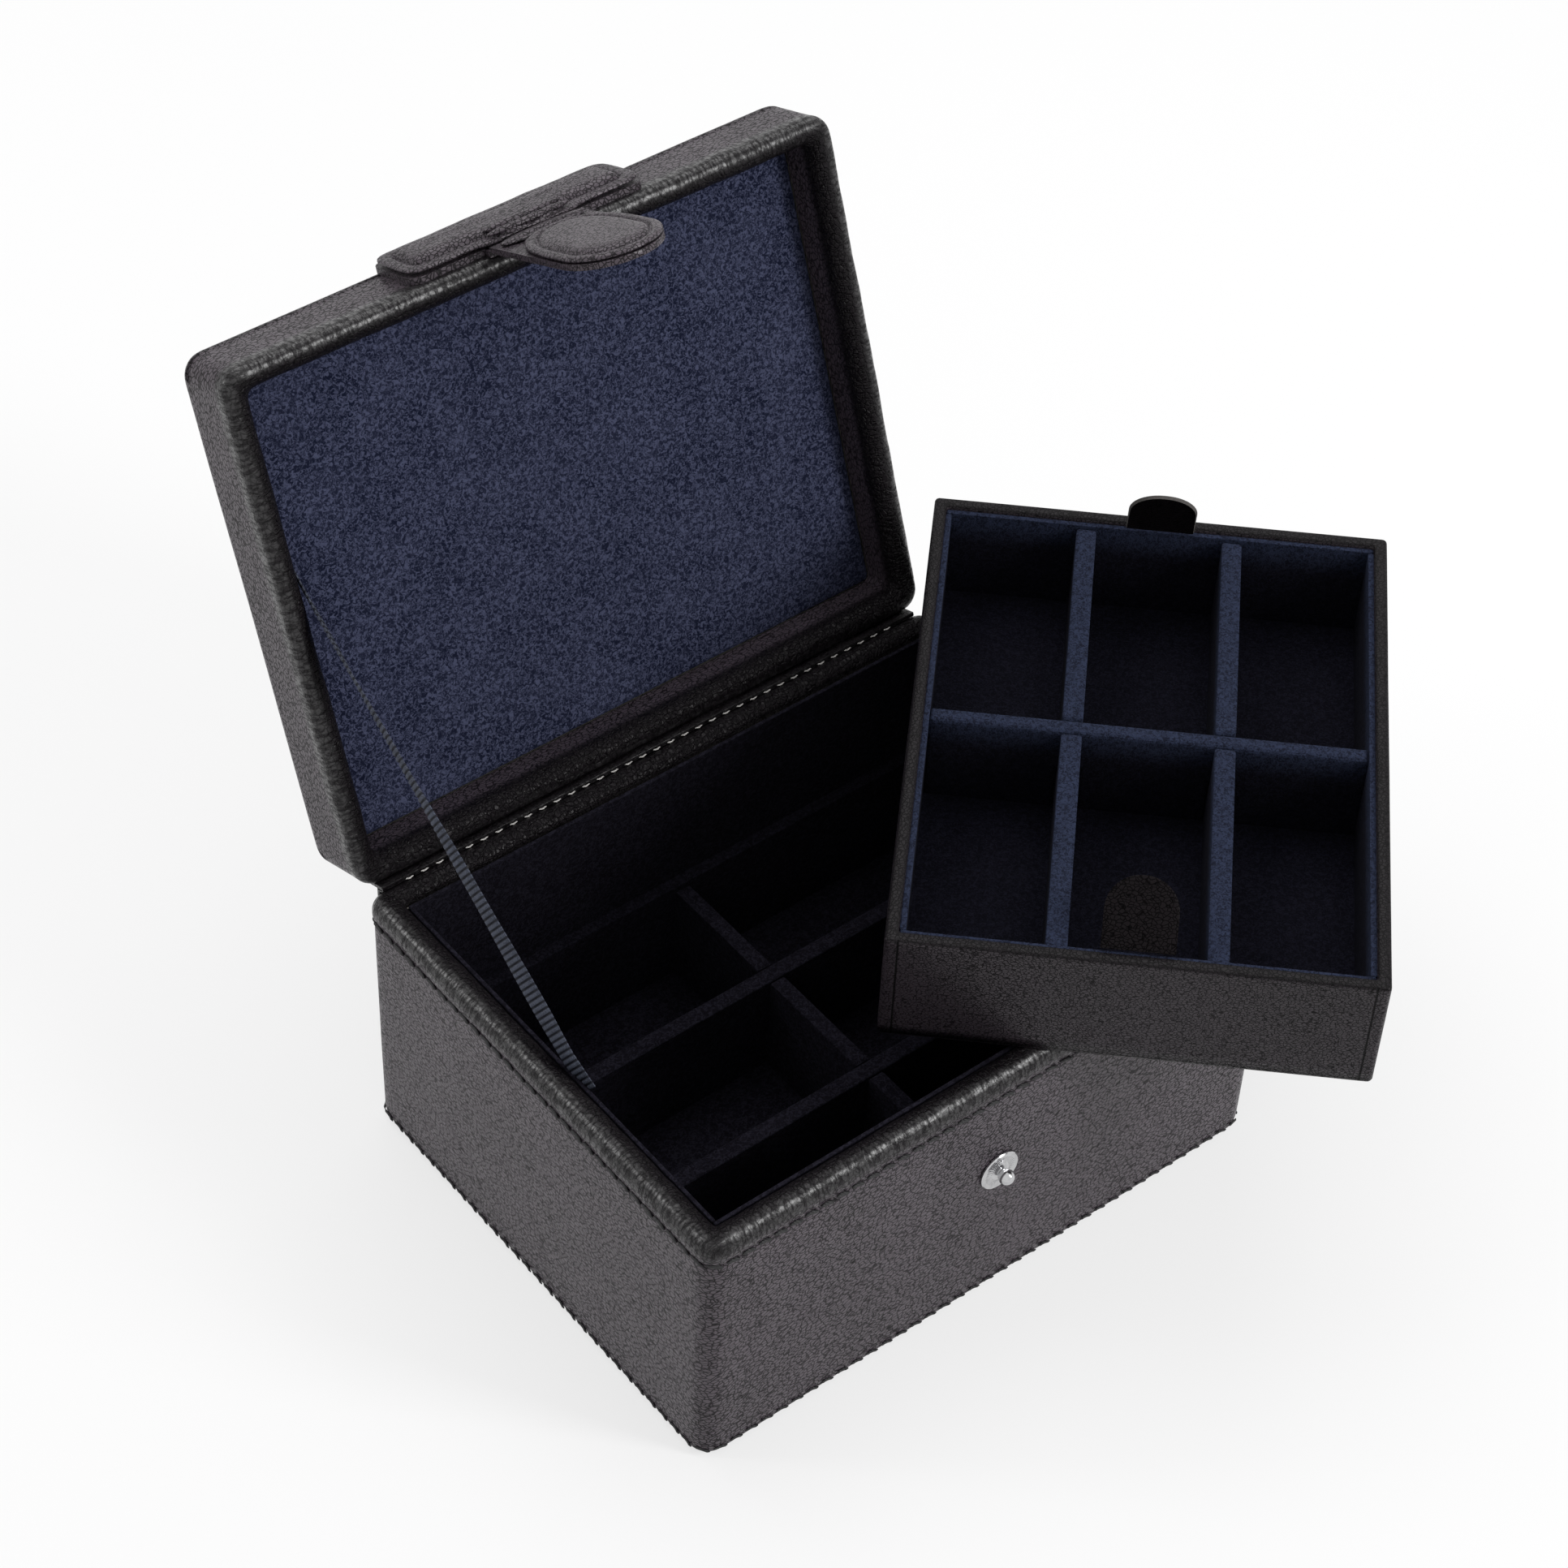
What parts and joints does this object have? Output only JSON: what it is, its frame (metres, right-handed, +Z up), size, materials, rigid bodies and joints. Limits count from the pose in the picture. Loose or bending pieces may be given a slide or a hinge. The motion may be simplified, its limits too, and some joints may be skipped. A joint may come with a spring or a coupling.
{
  "type": "cufflink box",
  "caption": "Leather-wrapped cufflink box, its lid held open by a ribbon stay and closed by a snap strap, with a divided lower insert and a divided lift-out tray with pull tabs.",
  "frame": {"origin": "centre of the base's underside, on the surface that it stands on", "axes": "+X along the hinge to the right, +Y from the snap side to the hinge side, +Z up"},
  "size_m": [0.2393, 0.2348, 0.2093],
  "materials": {
    "grain_leather": "black pebble-grain leather, semi-matt",
    "underside_leather": "black smooth leather, matt",
    "tray_leather": "black fine-grain leather, matt",
    "navy_suede": "navy microfibre suede over card, brushed nap",
    "ribbon": "navy grosgrain ribbon",
    "snap_chrome": "polished chrome",
    "card_board": "dense grey board",
    "foam": "soft foam padding"
  },
  "bodies": {
    "base": {"base_board_back": "card_board", "base_board_front": "card_board", "base_board_left": "card_board", "base_board_right": "card_board", "base_floor_board": "card_board", "base_leather_cover": "grain_leather", "base_liner_back": "navy_suede", "base_liner_front": "navy_suede", "base_liner_left": "navy_suede", "base_liner_right": "navy_suede", "base_rim_binding": "grain_leather", "base_rim_padding": "foam", "base_underside": "underside_leather", "insert_divider_back": "navy_suede", "insert_divider_front": "navy_suede", "insert_divider_lengthwise": "navy_suede", "insert_floor_pad": "navy_suede", "insert_wall_back": "navy_suede", "insert_wall_front": "navy_suede", "insert_wall_left": "navy_suede", "insert_wall_right": "navy_suede", "ribbon_stay": "ribbon", "snap_stud": "snap_chrome", "snap_stud_eyelet": "snap_chrome", "spine_leather": "grain_leather"},
    "lid": {"lid_board_back": "card_board", "lid_board_front": "card_board", "lid_board_left": "card_board", "lid_board_right": "card_board", "lid_leather_cover": "grain_leather", "lid_rim_binding": "grain_leather", "lid_rim_padding": "foam", "lid_suede_panel": "navy_suede", "lid_top_board": "card_board", "lid_top_padding": "foam", "strap_backing": "grain_leather", "strap_facing": "grain_leather"},
    "strap_tongue": {"snap_socket": "snap_chrome", "snap_socket_cap": "snap_chrome", "tongue_backing": "grain_leather", "tongue_facing": "grain_leather"},
    "tray": {"tray_board_back": "card_board", "tray_board_front": "card_board", "tray_board_left": "card_board", "tray_board_right": "card_board", "tray_bottom_board": "card_board", "tray_divider_cross": "navy_suede", "tray_divider_left": "navy_suede", "tray_divider_right": "navy_suede", "tray_floor_pad": "navy_suede", "tray_leather_wrap": "tray_leather", "tray_liner_back": "navy_suede", "tray_liner_front": "navy_suede", "tray_liner_left": "navy_suede", "tray_liner_right": "navy_suede", "tray_underside": "tray_leather"},
    "tab_near": {"tray_tab_near": "tray_leather"},
    "tab_far": {"tray_tab_far": "tray_leather"}
  },
  "joints": [
    {"name": "lid_hinge", "type": "hinge", "parent": "base", "child": "lid", "pos_m": [0, 0.06225, 0.0727], "axis": [1, 0, 0], "range_deg": [0, 110.4], "deforming": ["spine_leather", "ribbon_stay"]},
    {"name": "tray_slide", "type": "slide", "parent": "base", "child": "tray", "axis": [0.6943, -0.6776, 0.2425], "range_m": [0, 0.115]},
    {"name": "tongue_hinge", "type": "hinge", "parent": "lid", "child": "strap_tongue", "pos_m": [0, 0.10566, 0.19216], "axis": [-1, 0, 0], "range_deg": [0, 80]},
    {"name": "tab_near_hinge", "type": "hinge", "parent": "tray", "child": "tab_near", "pos_m": [0.02537, -0.0705, 0.1021], "axis": [0.7157, -0.6984, 0], "range_deg": [-40, 50]},
    {"name": "tab_far_hinge", "type": "hinge", "parent": "tray", "child": "tab_far", "pos_m": [0.11923, 0.02569, 0.1021], "axis": [0.7157, -0.6984, 0], "range_deg": [-21, 69]}
  ],
  "couplings": [
    {"joint": "tray_slide", "follows": "lid_hinge", "m_per_rad": 0.059683}
  ]
}
